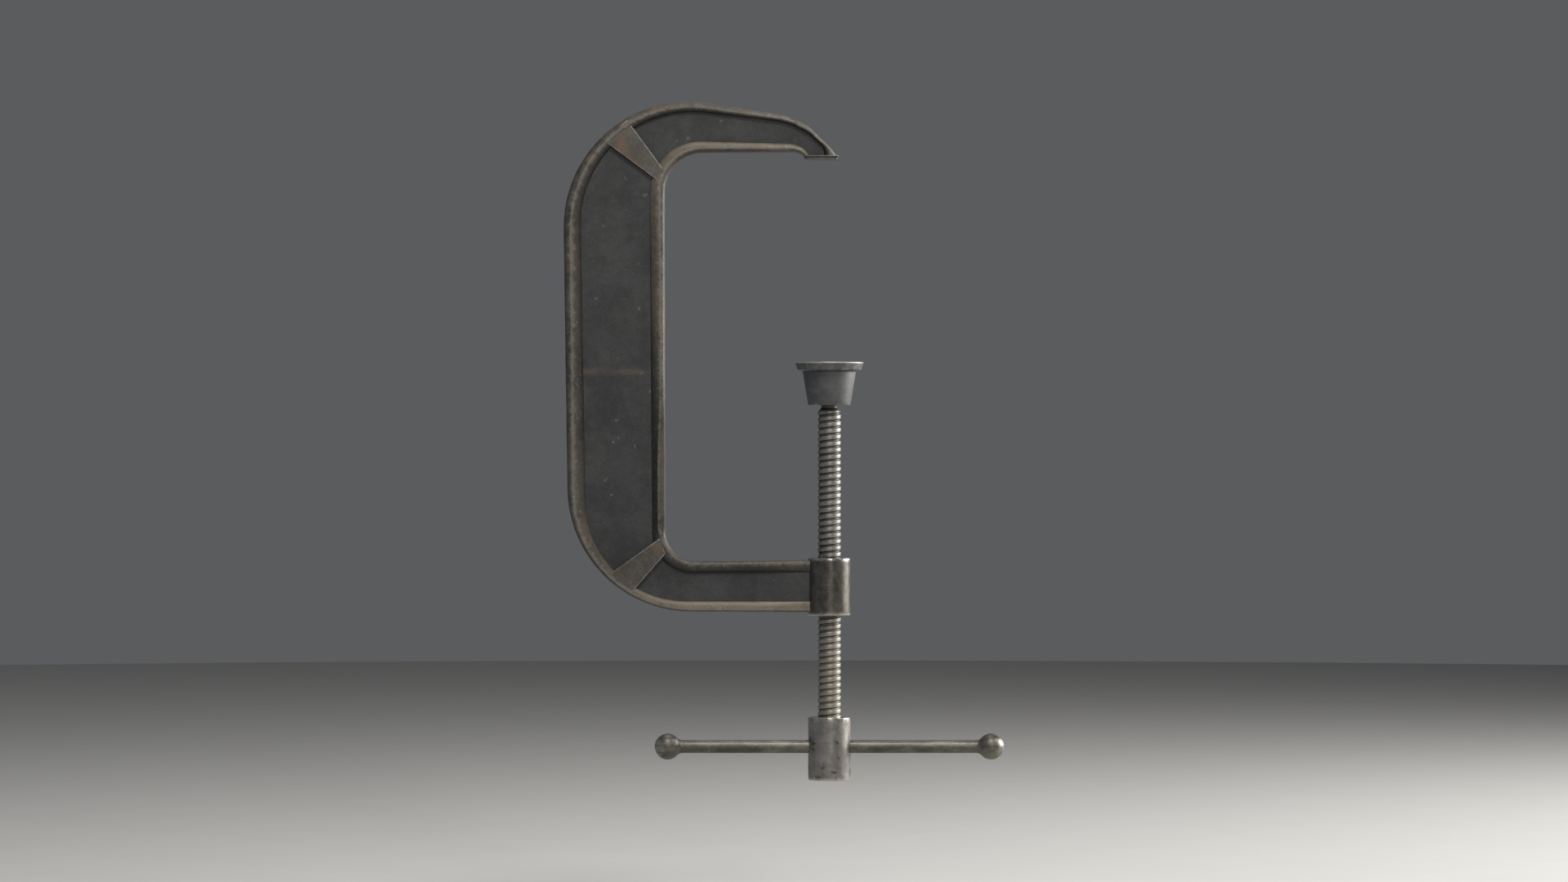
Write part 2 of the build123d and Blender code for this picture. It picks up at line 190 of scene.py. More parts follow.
def turned(profile, along="Z", centre=(0, 0, 0), steps=TURN_STEPS):
    """Points, faces and wear of a turned shape. The profile's corners are (radius,
    height, bend radius, wear). It closes on itself, or ends at the axis at both ends."""
    corners = [Vector(c[:2]) for c in profile]
    outline = []
    for k, (_, _, radius, wear) in enumerate(profile):
        on_axis = corners[k].x == 0
        before, after = corners[k - 1], corners[(k + 1) % len(corners)]
        arc = [corners[k]] if on_axis else bend(before, corners[k], after, radius, EDGE_STEPS)
        outline += [(p, wear) for p in arc]
    points, wears, rows = [], [], []
    for p, wear in outline:
        count = 1 if p.x == 0 else steps
        rows.append(range(len(points), len(points) + count))
        for j in range(count):
            angle = 2 * pi * j / steps
            across = (p.x * cos(angle), p.x * sin(angle))
            point = (*across, p.y) if along == "Z" else (p.y, *across)
            points.append(Vector(point) + Vector(centre))
            wears.append(wear)
    open_profile = corners[0].x == 0 and corners[-1].x == 0
    pairs = list(zip(rows, rows[1:])) + ([] if open_profile else [(rows[-1], rows[0])])
    faces = []
    for row, after in pairs:
        for j in range(steps):
            loop = (row[j % len(row)], row[(j + 1) % steps % len(row)],
                    after[(j + 1) % steps % len(after)], after[j % len(after)])
            faces.append(tuple(dict.fromkeys(loop)))
    return points, [f for f in faces if len(f) > 2], wears


CHAMFER_FROM = radians(50)  # edges sharper than this are chamfered


def carve(obj, tools, chamfer):
    """Cuts tools out of a piece and chamfers the edges that are left."""
    for tool in tools:
        cut = obj.modifiers.new("cut", "BOOLEAN")
        cut.operation, cut.solver, cut.object = "DIFFERENCE", "EXACT", tool
    edge = obj.modifiers.new("edge", "BEVEL")
    edge.width, edge.segments = chamfer * MM, 2
    edge.limit_method, edge.angle_limit = "ANGLE", CHAMFER_FROM
    ready = obj.evaluated_get(bpy.context.evaluated_depsgraph_get())
    mesh = bpy.data.meshes.new_from_object(ready)
    obj.modifiers.clear()
    obj.data = mesh
    for tool in tools:
        bpy.data.objects.remove(tool)
    smooth(obj)


def rod(name, radius, start, end):
    """A plain bar between two points, to cut holes with."""
    start, end = Vector(start), Vector(end)
    mesh = bmesh.new()
    place = (end - start).to_track_quat("Z", "Y").to_matrix().to_4x4()
    place.translation = (start + end) / 2 * MM
    bmesh.ops.create_cone(
        mesh, cap_ends=True, segments=SLIM_STEPS, radius1=radius * MM, radius2=radius * MM,
        depth=(end - start).length * MM, matrix=place)
    return add_mesh(name, mesh)


# ---------------------------------------------------------------- finishes

NOISE_SHIFT = 0.37  # keeps the noises of one material apart
# How large the features of a steel surface are, in millimetres
CLOUD, FINE, GRAIN = 28, 4.5, 0.7
PATCH, PATCH_EDGE = 38, 6
BRUSH, FLECK, SEAM_GAP, PIT_FIELD = 0.5, 1.8, 9, 11
TURNING = (0.02, 0.02, 1)  # stretches noise into level lines, as turning leaves


class Finish:
    """A material under construction. Each call adds a node and gives its output."""

    def __init__(self, name):
        self.material = bpy.data.materials.new(name)
        self.material.use_nodes = True
        self.tree = self.material.node_tree
        self.shader = self.tree.nodes["Principled BSDF"]
        self.place = self.node("ShaderNodeTexCoord").outputs["Object"]
        self.shift = 0.0

    def node(self, kind, inputs=(), **settings):
        node = self.tree.nodes.new(kind)
        for key, value in settings.items():
            setattr(node, key, value)
        for key, value in dict(inputs).items():
            self.feed(node.inputs[key], value)
        return node

    def feed(self, socket, value):
        if isinstance(value, bpy.types.NodeSocket):
            self.tree.links.new(value, socket)
        else:
            socket.default_value = (*value, 1) if socket.type == "RGBA" else value

    def noise(self, grain, detail=5, roughness=0.6, stretch=(1, 1, 1)):
        """Noise with features about as large as the grain, in millimetres."""
        self.shift += NOISE_SHIFT
        place = self.node(
            "ShaderNodeMapping",
            {"Vector": self.place, "Scale": stretch, "Location": (self.shift,) * 3})
        return self.node("ShaderNodeTexNoise", {
            "Vector": place.outputs[0], "Scale": 1 / (grain * MM), "Detail": detail,
            "Roughness": roughness}).outputs[0]

    def spots(self, spacing, low, high):
        """Ragged spots, 1 inside and 0 outside."""
        cells = self.node("ShaderNodeTexVoronoi", {
            "Vector": self.place, "Scale": 1 / (spacing * MM)})
        ragged = self.step(self.noise(spacing / 4, 3), 0.3, 0.7, -0.12, 0.12)
        return self.step(self.math("ADD", cells.outputs["Distance"], ragged), high, low)

    def step(self, value, low, high, to_low=0.0, to_high=1.0):
        return self.node(
            "ShaderNodeMapRange",
            {"Value": value, "From Min": low, "From Max": high,
             "To Min": to_low, "To Max": to_high},
            interpolation_type="SMOOTHSTEP").outputs[0]

    def mix(self, amount, a, b, blend="MIX"):
        node = self.node("ShaderNodeMix", {0: amount, 6: a, 7: b},
                         data_type="RGBA", blend_type=blend)
        return node.outputs[2]

    def math(self, operation, a, b):
        return self.node("ShaderNodeMath", {0: a, 1: b}, operation=operation).outputs[0]

    def mark(self, name):
        return self.node("ShaderNodeAttribute", attribute_name=name).outputs["Fac"]

    def bump(self, height, depth, normal=None):
        """Relief as deep as the depth, in millimetres."""
        inputs = {"Height": height, "Distance": depth * MM, "Strength": 1.0}
        if normal:
            inputs["Normal"] = normal
        return self.node("ShaderNodeBump", inputs).outputs[0]


def steel(name, dark, light, metallic, rough, patches=None, worn=None, grime=None,
          dust=None, pits=None, flecks=None, brushed=None, streaks=(1, 1, 1), relief=0.05,
          seam=None, gloss=0.4):
    """A steel surface: mottled scale, and where asked for brown patches, bare worn edges,
    grime and painted shade, dust and painted highlights, pits, pale flecks, turning lines and
    a seam. Colours are linear."""
    f = Finish(name)
    cloud = f.noise(CLOUD, 6, 0.62, streaks)
    fine = f.noise(FINE, 6, 0.68, streaks)
    grain = f.noise(GRAIN, 3, 0.6)
    tone = f.math("ADD", f.math("MULTIPLY", cloud, 0.55), f.math("MULTIPLY", fine, 0.45))
    colour = f.mix(f.step(tone, 0.36, 0.66), dark, light)
    colour = f.mix(f.step(grain, 0.35, 0.65, 0.0, 0.35), colour, light, "OVERLAY")
    roughness = f.step(fine, 0.3, 0.75, rough[0], rough[1])
    metal = metallic
    if patches:
        tint, low, high, strength = patches
        area = f.math("ADD", f.math("MULTIPLY", f.noise(PATCH, 5, 0.65, streaks), 0.6),
                      f.math("MULTIPLY", f.noise(PATCH_EDGE, 6, 0.7, streaks), 0.4))
        amount = f.step(area, low, high, 0.0, strength)
        colour = f.mix(amount, colour, tint)
        roughness = f.math("MAXIMUM", roughness, f.math("MULTIPLY", amount, rough[1] + 0.12))
        metal = f.math("MULTIPLY", f.step(amount, 0, 1, 1.0, 0.35), metallic)
    if brushed:
        lines = f.noise(BRUSH, 2, 0.5, brushed)
        colour = f.mix(f.step(lines, 0.3, 0.7, 0.0, 0.4), colour, dark)
    if seam:
        height, half, tint = seam
        across = f.node("ShaderNodeSeparateXYZ", {0: f.place}).outputs[2]
        away = f.math("ABSOLUTE", f.math("SUBTRACT", across, height * MM), 0)
        ragged = f.math("MULTIPLY", f.step(f.noise(SEAM_GAP, 4), 0.3, 0.6), 0.6)
        colour = f.mix(f.math("MULTIPLY", f.step(away, half * MM, 0), ragged), colour, tint)
    if pits:
        tint, spacing, radius, strength = pits
        inside = f.spots(spacing, radius * 0.7, radius)
        some = f.step(f.noise(PIT_FIELD, 2), 0.47, 0.53, 0.0, strength)
        colour = f.mix(f.math("MULTIPLY", inside, some), colour, tint)
    # Grime and painted shade: a mark darkens the colour towards near-black, for real grime and
    # for shade painted into creases and onto flanks turned away from the light.
    if grime:
        tint, strength = grime
        ragged = f.math("MULTIPLY", f.mark("grime"), f.step(fine, 0.2, 0.7, 0.8, 1.15))
        amount = f.math("MULTIPLY", ragged, strength)
        colour = f.mix(f.math("MINIMUM", amount, 1.0), colour, tint)
        roughness = f.math("MAXIMUM", roughness, f.math("MULTIPLY", amount, 0.8))
    # Dust and painted highlight: a mark lightens the colour, for real dust and drying on the
    # screw and for light painted onto the rims' up-facing flanks.
    if dust:
        tint, strength = dust
        amount = f.math("MULTIPLY", f.mark("dust"), f.step(tone, 0.3, 0.6, 0.45, strength))
        colour = f.mix(amount, colour, tint)
    if flecks:
        tint, strength = flecks
        raised = f.step(f.noise(FLECK, 4, 0.75), 0.54, 0.70, 0.0, strength)
        bare = f.step(f.mark("wear"), 0.0, 0.8, 0.25, 1.0)
        colour = f.mix(f.math("MULTIPLY", raised, bare), colour, tint)
    if worn:
        tint, strength = worn
        broken = f.math("ADD", fine, f.math("MULTIPLY", f.mark("wear"), 0.5))
        broken = f.step(broken, 0.62, 0.95)
        amount = f.math("MULTIPLY", f.math("MULTIPLY", broken, f.mark("wear")), strength)
        colour = f.mix(amount, colour, tint)
        roughness = f.math("SUBTRACT", roughness, f.math("MULTIPLY", amount, 0.15))
    normal = f.bump(f.math("ADD", fine, f.math("MULTIPLY", grain, 0.35)), relief)
    if brushed:
        normal = f.bump(lines, relief * 0.2, normal)
    f.feed(f.shader.inputs["Base Color"], colour)
    f.feed(f.shader.inputs["Metallic"], metal)
    f.feed(f.shader.inputs["Roughness"], roughness)
    f.feed(f.shader.inputs["Normal"], normal)
    f.shader.inputs["Specular IOR Level"].default_value = gloss
    return f.material


# Near-black for grime and for painted shade
GRIME_AND_SHADE_BLACK = (0.010, 0.009, 0.008)
BRIGHT = (0.42, 0.40, 0.37)

web_steel = steel(
    "web_steel", (0.022, 0.024, 0.025), (0.046, 0.049, 0.050), 0.2, (0.5, 0.7),
    patches=((0.060, 0.058, 0.052), 0.52, 0.74, 0.5), relief=0.04, gloss=0.3,
    pits=((0.11, 0.11, 0.105), 9, 0.10, 0.5),
    seam=(size("spine_web_upper")[0].z, 3.5, (0.075, 0.058, 0.043)))
# The rims' grime mark is painted shade along the web, and their dust mark a painted highlight
# on up-facing flanks.
rim_steel = steel(
    "rim_steel", (0.034, 0.031, 0.027), (0.080, 0.074, 0.065), 0.3, (0.48, 0.68),
    patches=((0.078, 0.057, 0.038), 0.48, 0.64, 0.6),
    worn=((0.22, 0.208, 0.188), 0.35), grime=(GRIME_AND_SHADE_BLACK, 0.85),
    dust=((0.20, 0.165, 0.125), 0.85), flecks=((0.21, 0.205, 0.19), 0.55), relief=0.22,
    gloss=0.3)
gusset_steel = steel(
    "gusset_steel", (0.054, 0.050, 0.045), (0.094, 0.089, 0.081), 0.35, (0.42, 0.62),
    patches=((0.115, 0.066, 0.038), 0.50, 0.62, 0.7), worn=((0.5, 0.48, 0.45), 0.6),
    relief=0.06, gloss=0.3)
anvil_steel = steel(
    "anvil_steel", (0.028, 0.029, 0.029), (0.065, 0.065, 0.063), 0.5, (0.36, 0.5),
    worn=(BRIGHT, 0.2), relief=0.05)
boss_steel = steel(
    "boss_steel", (0.072, 0.067, 0.06), (0.160, 0.150, 0.137), 0.85, (0.30, 0.42),
    patches=((0.085, 0.066, 0.047), 0.50, 0.68, 0.65), worn=(BRIGHT, 0.6),
    brushed=TURNING, relief=0.04)
shoe_steel = steel(
    "shoe_steel", (0.084, 0.086, 0.089), (0.152, 0.154, 0.157), 0.85, (0.58, 0.70),
    patches=((0.09, 0.08, 0.068), 0.55, 0.7, 0.5), worn=(BRIGHT, 0.9),
    brushed=TURNING, relief=0.03)
head_steel = steel(
    "head_steel", (0.165, 0.157, 0.147), (0.31, 0.295, 0.28), 0.8, (0.30, 0.42),
    patches=((0.16, 0.135, 0.115), 0.55, 0.7, 0.5), worn=(BRIGHT, 0.6),
    pits=((0.05, 0.05, 0.05), 6.5, 0.34, 0.75), brushed=TURNING, relief=0.04)
# On the screw the grime mark is oil in the thread's roots and painted shade under the crests;
# its dust mark is real drier, rustier steel lower down.
screw_steel = steel(
    "screw_steel", (0.072, 0.072, 0.07), (0.160, 0.155, 0.144), 0.9, (0.50, 0.62),
    patches=((0.12, 0.095, 0.06), 0.52, 0.68, 0.5), worn=((0.30, 0.285, 0.26), 0.5),
    grime=(GRIME_AND_SHADE_BLACK, 0.7), dust=((0.30, 0.27, 0.21), 0.7), relief=0.03)
bar_steel = steel(
    "bar_steel", (0.066, 0.063, 0.055), (0.185, 0.176, 0.152), 0.75, (0.38, 0.55),
    patches=((0.115, 0.092, 0.06), 0.5, 0.66, 0.6), worn=(BRIGHT, 0.7),
    flecks=((0.30, 0.27, 0.20), 0.6), streaks=(0.35, 1, 1), relief=0.09)
pin_steel = steel("pin_steel", (0.05, 0.05, 0.05), (0.12, 0.12, 0.12), 0.8, (0.4, 0.55))
spring_steel = steel("spring_steel", (0.10, 0.10, 0.11), (0.2, 0.2, 0.21), 0.9, (0.3, 0.4))
ball_steel = steel("ball_steel", (0.45, 0.45, 0.45), (0.55, 0.55, 0.55), 1.0, (0.15, 0.22),
                   relief=0.005)

for slot_name, finish, names in (
    ("web_steel", web_steel,
     ("upper_arm_web", "spine_web_upper", "spine_web_lower", "lower_arm_web")),
    ("pin_steel", pin_steel, ("head_pin",)),
    ("spring_steel", spring_steel, ("snap_ring",)),
    ("ball_steel", ball_steel, ("thrust_ball",)),
):
    for name in names:
        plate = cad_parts[name]
        plate.data.materials.clear()
        plate.data.materials.append(finish)


# ---------------------------------------------------------------- the frame's rims

BOSS_LOW, BOSS_HIGH = size("screw_boss")
BOSS_RADIUS = BOSS_HIGH.x
PAD_LOW, PAD_HIGH = size("anvil_pad")
NOSE_Z = PAD_HIGH.z
RIM_END_X = -BOSS_RADIUS + 2  # the rims run a little way into the boss
RIM_HALF = size("outer_rim")[1].y
WEB_HALF = size("spine_web_upper")[1].y
# Outline corners as (x, z) from the nose to the boss, with a bend radius at each corner
# between. They follow the CAD model's outlines. Each edge of a rim has as many corners as
# its partner, and the outer rim's nose end is drawn in from the CAD model's.
BACK_EDGE = [(4.4, NOSE_Z), (0.4, 7.4), (-12.75, 20.2), (-24.75, 26.4),
             (-163.9, 50.0), (-159.2, -276.5), (RIM_END_X, -277.0)]
BACK_BENDS = [0, 14, 40, 77, 76]
WEB_BACK_EDGE = [(-3.0, NOSE_Z), (-3.6, 7.2), (-12.8, 15.9), (-26.25, 22.6),
                 (-153.3, 37.7), (-148.1, -270.2), (RIM_END_X, -270.4)]
WEB_BACK_BENDS = [3, 14, 40, 68, 62]
WEB_FRONT_EDGE = [(-11.5, NOSE_Z), (-16.45, 7.15), (-22.85, 9.45), (-110.0, 11.6),
                  (-108.2, -253.0), (RIM_END_X, -252.1)]
WEB_FRONT_BENDS = [5, 12, 31, 25]
THROAT_EDGE = [(-15.3, NOSE_Z), (-17.6, 3.38), (-20.0, 4.5), (-100.7, 4.1),
               (-100.4, -246.0), (RIM_END_X, -245.1)]
THROAT_BENDS = [0, 8, 24, 19]
SPINE_THROAT_X = THROAT_EDGE[3][0]
# How far across a rim its crown is where the rim faces down, sideways and up
OUTER_CROWNS, INNER_CROWNS = (0.80, 0.68, 0.45), (0.55, 0.78, 0.82)

RIM_SPACING = 2.0
RIM_FOOT = 0.4  # how far the rim stands proud of the web where they meet
RIM_SHOULDER = 4.2  # half depth of the rim's outer face before it rounds over
RIM_ROUND = 1.5  # least depth of that rounding
RIM_BOSS_HALF = 5.5  # half depth of the rims where they meet the boss
NOSE_WORN_LENGTH = 60.0  # how far back from the nose the rims are worn brighter
SHADE_SPARED_BELOW = 0.8  # the part of the painted shade that a rim facing down is spared, as its flank by the web faces up to the light
HIGHLIGHT_CLEAR = 0.7  # the part of the painted highlight on that up-facing flank that is gone at the crown
RIM_TAPER_LENGTH = 26.0
QUARTER_STEPS = 9
FORGED, FORGED_SIZE = 0.18, 11.0  # how deep and how wide the forged rims' dents are
# Where along the lower spine the throat bar's section turns from round to creased
CREASE_TOP_Z, CREASE_FULL_Z, CREASE_END_Z = -115.0, -185.0, -229.0
CREASE_FADE = 7.0
CREASE_SHARE = 0.46  # the part of the bar's width that its sloped side takes
CREASE_ROLL = 0.8  # how far the flat face rolls over at its outer edge


def between(a, b, share):
    return [x + (y - x) * share for x, y in zip(a, b)]


def rim_section(crown_share, half, creased):
    """One half of the rim's section, as (share of the width, half depth, wear, painted shade).
    A creased section has a straight sloped side and a flat face."""
    foot = WEB_HALF + RIM_FOOT
    shoulder = min(RIM_SHOULDER, half - RIM_ROUND)
    out = [(0.0, WEB_HALF, 0.0, 1.0)]
    for i in range(QUARTER_STEPS + 1):
        straight = i / QUARTER_STEPS
        angle = straight * pi / 2
        side = (crown_share * (1 - cos(angle)), foot + (half - foot) * sin(angle))
        slope = (CREASE_SHARE * straight, foot + (half - foot) * straight)
        # Painted shade: darkest at the foot of the flank by the web, and over all of a creased
        # section's sloped side, where the web and the rim would shade it.
        dirt_and_shade = 1.1 * (1 - straight) ** 0.8
        if i < QUARTER_STEPS:
            dirt_and_shade += (1.0 - dirt_and_shade) * creased
        worn = straight**3 * (1 - 0.7 * creased)
        out.append((*between(side, slope, creased), worn, dirt_and_shade))
    for i in range(1, QUARTER_STEPS + 1):
        straight = i / QUARTER_STEPS
        angle = straight * pi / 2
        back = (crown_share + (1 - crown_share) * sin(angle),
                shoulder + (half - shoulder) * cos(angle))
        flat = (CREASE_SHARE + (1 - CREASE_SHARE) * straight,
                half - CREASE_ROLL * straight**8)
        out.append((*between(back, flat, creased), (1 - straight) ** 2 * 0.8, 0.0))
    return out


def rim(node, pairs, crowns, creased_at=lambda place: 0.0):
    """A forged rim bar swept along matching points of its web and outer edges."""
    rings, wear, grime, dust = [], [], [], []
    for inner, outer in pairs:
        across = outer - inner
        up = across.normalized().y
        crown_share = crowns[1] + (crowns[2 if up > 0 else 0] - crowns[1]) * abs(up)
        past_boss = (RIM_TAPER_LENGTH + inner.x + BOSS_RADIUS) / RIM_TAPER_LENGTH
        taper = min(max(past_boss, 0.0), 1.0) if inner.y < BOSS_HIGH.z else 0.0
        half = RIM_HALF + (RIM_BOSS_HALF - RIM_HALF) * taper
        section = rim_section(crown_share, half, creased_at(inner))
        handled = max(0.0, 1 + inner.x / NOSE_WORN_LENGTH)
        ring = []
        for side, part in ((-1, section), (1, section[::-1])):
            for share, depth, worn, dirt_and_shade in part:
                spot = Vector((inner.x + across.x * share, side * depth,
                               inner.y + across.y * share))
                dent = FORGED * (0.5 + 0.5 * noise.noise(spot / FORGED_SIZE))
                outward = Vector((across.x, 0, across.y)).normalized() * share
                outward.y = side * depth / half
                ring.append(spot - outward * dent)
                wear.append(worn + (1 - worn) * handled * share if inner.y > 0 else worn)
                # Painted shade on the flank by the web, less where that flank faces up; there
                # a painted highlight lightens it instead, fading towards the crown.
                grime.append(dirt_and_shade * (1 - SHADE_SPARED_BELOW * max(0.0, -up)))
                dust.append(max(0.0, -up) * max(0.0, 1 - share / crown_share * HIGHLIGHT_CLEAR))
        rings.append(ring)
    points, faces = tube(rings)
    return piece(node + "_bar", "frame", "rim_steel", rim_steel, points, faces, node,
                 wear=wear, grime=grime, dust=dust)


def throat_crease(place):
    """How creased the throat bar's section is: only along the lower spine."""
    if place.x > SPINE_THROAT_X:
        return 0.0
    begun = (CREASE_TOP_Z - place.y) / (CREASE_TOP_Z - CREASE_FULL_Z)
    ended = 1 - (CREASE_END_Z - place.y) / CREASE_FADE
    return max(0.0, min(begun, ended, 1.0))


rim("outer_rim",
    stations(WEB_BACK_EDGE, WEB_BACK_BENDS, BACK_EDGE, BACK_BENDS, RIM_SPACING),
    OUTER_CROWNS)
rim("inner_rim",
    stations(WEB_FRONT_EDGE, WEB_FRONT_BENDS, THROAT_EDGE, THROAT_BENDS, RIM_SPACING),
    INNER_CROWNS, throat_crease)


# ---------------------------------------------------------------- gussets and anvil pad

UPPER_GUSSET = [(-137.7, 11.1), (-123.6, 24.0), (-99.7, -8.4), (-102.8, -14.8)]
LOWER_GUSSET = [(-135.2, -254.1), (-120.6, -264.6), (-100.1, -241.1), (-103.6, -231.5)]
GUSSET_HALF = size("upper_gusset_front")[0].y
GUSSET_EDGE = 0.35
GUSSET_SINK = 0.5  # how far a gusset is set into the web
SAME_DEPTH = 1e-5  # in metres


def outer_face(mesh, y):
    """The largest face of a gusset at the depth of its outer side."""
    level = [f for f in mesh.faces if abs(f.calc_center_median().y - y * MM) < SAME_DEPTH]
    return max(level, key=lambda f: f.calc_area())


def gusset(name, outline, side):
    """A wedge plate with ground edges, set into the web."""
    mesh = bmesh.new()
    inner_y, outer_y = side * (WEB_HALF - GUSSET_SINK), side * -GUSSET_HALF
    ring = [mesh.verts.new((x * MM, inner_y * MM, z * MM)) for x, z in outline]
    base = mesh.faces.new(ring)
    raised = bmesh.ops.extrude_face_region(mesh, geom=[base])["geom"]
    top = [g for g in raised if isinstance(g, bmesh.types.BMVert)]
    for vertex in top:
        vertex.co.y = outer_y * MM
    edges = [e for e in mesh.edges if e.verts[0] in top and e.verts[1] in top]
    bmesh.ops.bevel(mesh, geom=edges, offset=GUSSET_EDGE * MM, segments=2, profile=0.6,
                    affect="EDGES")
    face = outer_face(mesh, outer_y)
    bmesh.ops.inset_region(mesh, faces=[face], thickness=GUSSET_EDGE * MM)
    inside = set(outer_face(mesh, outer_y).verts)
    mesh.verts.index_update()
    points = [v.co / MM for v in mesh.verts]
    faces = [tuple(v.index for v in f.verts) for f in mesh.faces]
    wear = [float(v not in inside and abs(v.co.y - outer_y * MM) < SAME_DEPTH)
            for v in mesh.verts]
    mesh.free()
    piece(name + "_plate", "frame", "gusset_steel", gusset_steel, points, faces, name,
          wear=wear)


for corner, outline in (("upper", UPPER_GUSSET), ("lower", LOWER_GUSSET)):
    for face_name, side in (("front", -1), ("back", 1)):
        gusset(f"{corner}_gusset_{face_name}", outline, side)


CORNER_STEPS = 5


def rounded_rectangle(centre_x, z, half_x, half_y, radius):
    """A ring of points round a rectangle, corner by corner."""
    ring = []
    for k in range(4):
        out_x, out_y = (1, 1, -1, -1)[k], (-1, 1, 1, -1)[k]
        for i in range(CORNER_STEPS + 1):
            angle = (k - 1 + i / CORNER_STEPS) * pi / 2
            ring.append(Vector((
                centre_x + out_x * (half_x - radius) + radius * cos(angle),
                out_y * (half_y - radius) + radius * sin(angle), z)))
    return ring


PAD_CENTRE_X = (PAD_LOW.x + PAD_HIGH.x) / 2
PAD_HALF_X, PAD_HALF_Y = (PAD_HIGH.x - PAD_LOW.x) / 2, PAD_HIGH.y
PAD_DRAFT = 0.7  # how much the pad tapers towards its face
PAD_EDGE = 0.3
PAD_CORNER = 1.5

pad_rings, pad_wear = [], []
for z, inset, worn in (
    (PAD_HIGH.z, PAD_EDGE * 2, 0), (PAD_HIGH.z, PAD_EDGE, 1), (PAD_HIGH.z - PAD_EDGE, 0, 1),
    (PAD_HIGH.z - PAD_EDGE * 2, 0, 0), (PAD_EDGE * 2, PAD_DRAFT, 0),
    (PAD_EDGE, PAD_DRAFT, 1), (0, PAD_DRAFT + PAD_EDGE, 1), (0, PAD_DRAFT + PAD_EDGE * 3, 0.2),
):
    pad_rings.append(rounded_rectangle(
        PAD_CENTRE_X, z, PAD_HALF_X - inset, PAD_HALF_Y - inset, PAD_CORNER))
    pad_wear += [float(worn)] * len(pad_rings[-1])
pad_points, pad_faces = tube(pad_rings)
piece("anvil_pad_plate", "frame", "anvil_steel", anvil_steel, pad_points, pad_faces,
      "anvil_pad", wear=pad_wear)


# ---------------------------------------------------------------- thread

PITCH = 4.0
THREAD_RADIUS = 7.0
THREAD_CLEARANCE = 0.25
THREAD_STEPS = 96
HEAD_LOW, HEAD_HIGH = size("spindle_head")
HEAD_TOP_Z = HEAD_HIGH.z
RIDGE_Z = HEAD_TOP_Z - PITCH  # the ridge's middle at angle 0
THREAD_TOP_Z = -152.0
THREAD_HEIGHT = 0.6
CREST_HALF = 0.3 * PITCH
CORE_RADIUS = THREAD_RADIUS - THREAD_HEIGHT - 0.1
FLANK_ANGLE = radians(15)
ROOT_HALF = CREST_HALF + (THREAD_RADIUS - CORE_RADIUS) * tan(FLANK_ANGLE)
UPPER_FLANK_SHADE = 0.35  # how much of the grime and painted shade is left on the upper flanks, which face the light; the lower flanks keep all of it as painted shade
SPARE_TURNS = 2  # made past each end of a thread and cut off again
CUT_TOLERANCE, LEVEL_TOLERANCE = 1e-7, 1e-6  # in metres


def thread_profile(gap):
    """One pitch of the thread, as (height above the ridge's middle, radius, wear, grime and
    painted shade), grown by a gap all round. Its crest corners are rounded. The last column is
    oil in the root, and painted shade that is darker under each crest than above it."""
    half = [(0.0, THREAD_RADIUS, 1.0, 0.0), (CREST_HALF - 0.45, THREAD_RADIUS, 1.0, 0.0),
            (CREST_HALF - 0.2, THREAD_RADIUS - 0.03, 0.9, 0.0),
            (CREST_HALF - 0.04, THREAD_RADIUS - 0.12, 0.5, 0.3),
            (CREST_HALF + 0.05, THREAD_RADIUS - 0.28, 0.1, 1.1),
            (ROOT_HALF - 0.03, CORE_RADIUS + 0.1, 0.0, 1.4),
            (ROOT_HALF + 0.12, CORE_RADIUS, 0.0, 0.8),
            (PITCH / 2 - 0.3, CORE_RADIUS, 0.0, 0.5)]
    grown = [(h + (gap if h > 0 else 0), r + gap, w, g) for h, r, w, g in half]
    lower = [(-h, r, w, g) for h, r, w, g in grown[:0:-1]]
    upper = [(h, r, w, g * UPPER_FLANK_SHADE) for h, r, w, g in grown]
    return lower + upper


def thread_mesh(profile, low, high, shape):
    """A threaded surface between two heights. Shape gives a point's radius from its
    height and its radius on the thread."""
    rows = len(profile)
    first = int((low - RIDGE_Z) / PITCH) - SPARE_TURNS
    turns = int((high - low) / PITCH) + 2 * SPARE_TURNS
    mesh = bmesh.new()
    wear = mesh.verts.layers.float.new("wear")
    # grime and painted shade, for each point of the thread
    grime = mesh.verts.layers.float.new("grime")
    columns = []
    for t in range(turns * THREAD_STEPS + 1):
        angle = 2 * pi * t / THREAD_STEPS
        middle = RIDGE_Z + (first + t / THREAD_STEPS) * PITCH
        column = []
        for height, radius, worn, dirt_and_shade in profile:
            z = middle + height
            r = shape(z, radius)
            vertex = mesh.verts.new(
                (r * cos(angle) * MM, r * sin(angle) * MM, z * MM))
            vertex[wear], vertex[grime] = worn, dirt_and_shade
            column.append(vertex)
        columns.append(column)
    for t in range(len(columns) - 1):
        here, there = columns[t], columns[t + 1]
        for i in range(rows - 1):
            mesh.faces.new((here[i], there[i], there[i + 1], here[i + 1]))
        if t + THREAD_STEPS + 1 < len(columns):
            up, up_next = columns[t + THREAD_STEPS], columns[t + THREAD_STEPS + 1]
            mesh.faces.new((here[-1], there[-1], up_next[0], up[0]))
    for height, normal in ((low, -1), (high, 1)):
        bmesh.ops.bisect_plane(
            mesh, geom=mesh.verts[:] + mesh.edges[:] + mesh.faces[:],
            plane_co=(0, 0, height * MM), plane_no=(0, 0, normal), clear_outer=True,
            dist=CUT_TOLERANCE)
    return mesh


def ends(mesh, height):
    """The open edges at a height."""
    return [e for e in mesh.edges if e.is_boundary
            and all(abs(v.co.z - height * MM) < LEVEL_TOLERANCE for v in e.verts)]


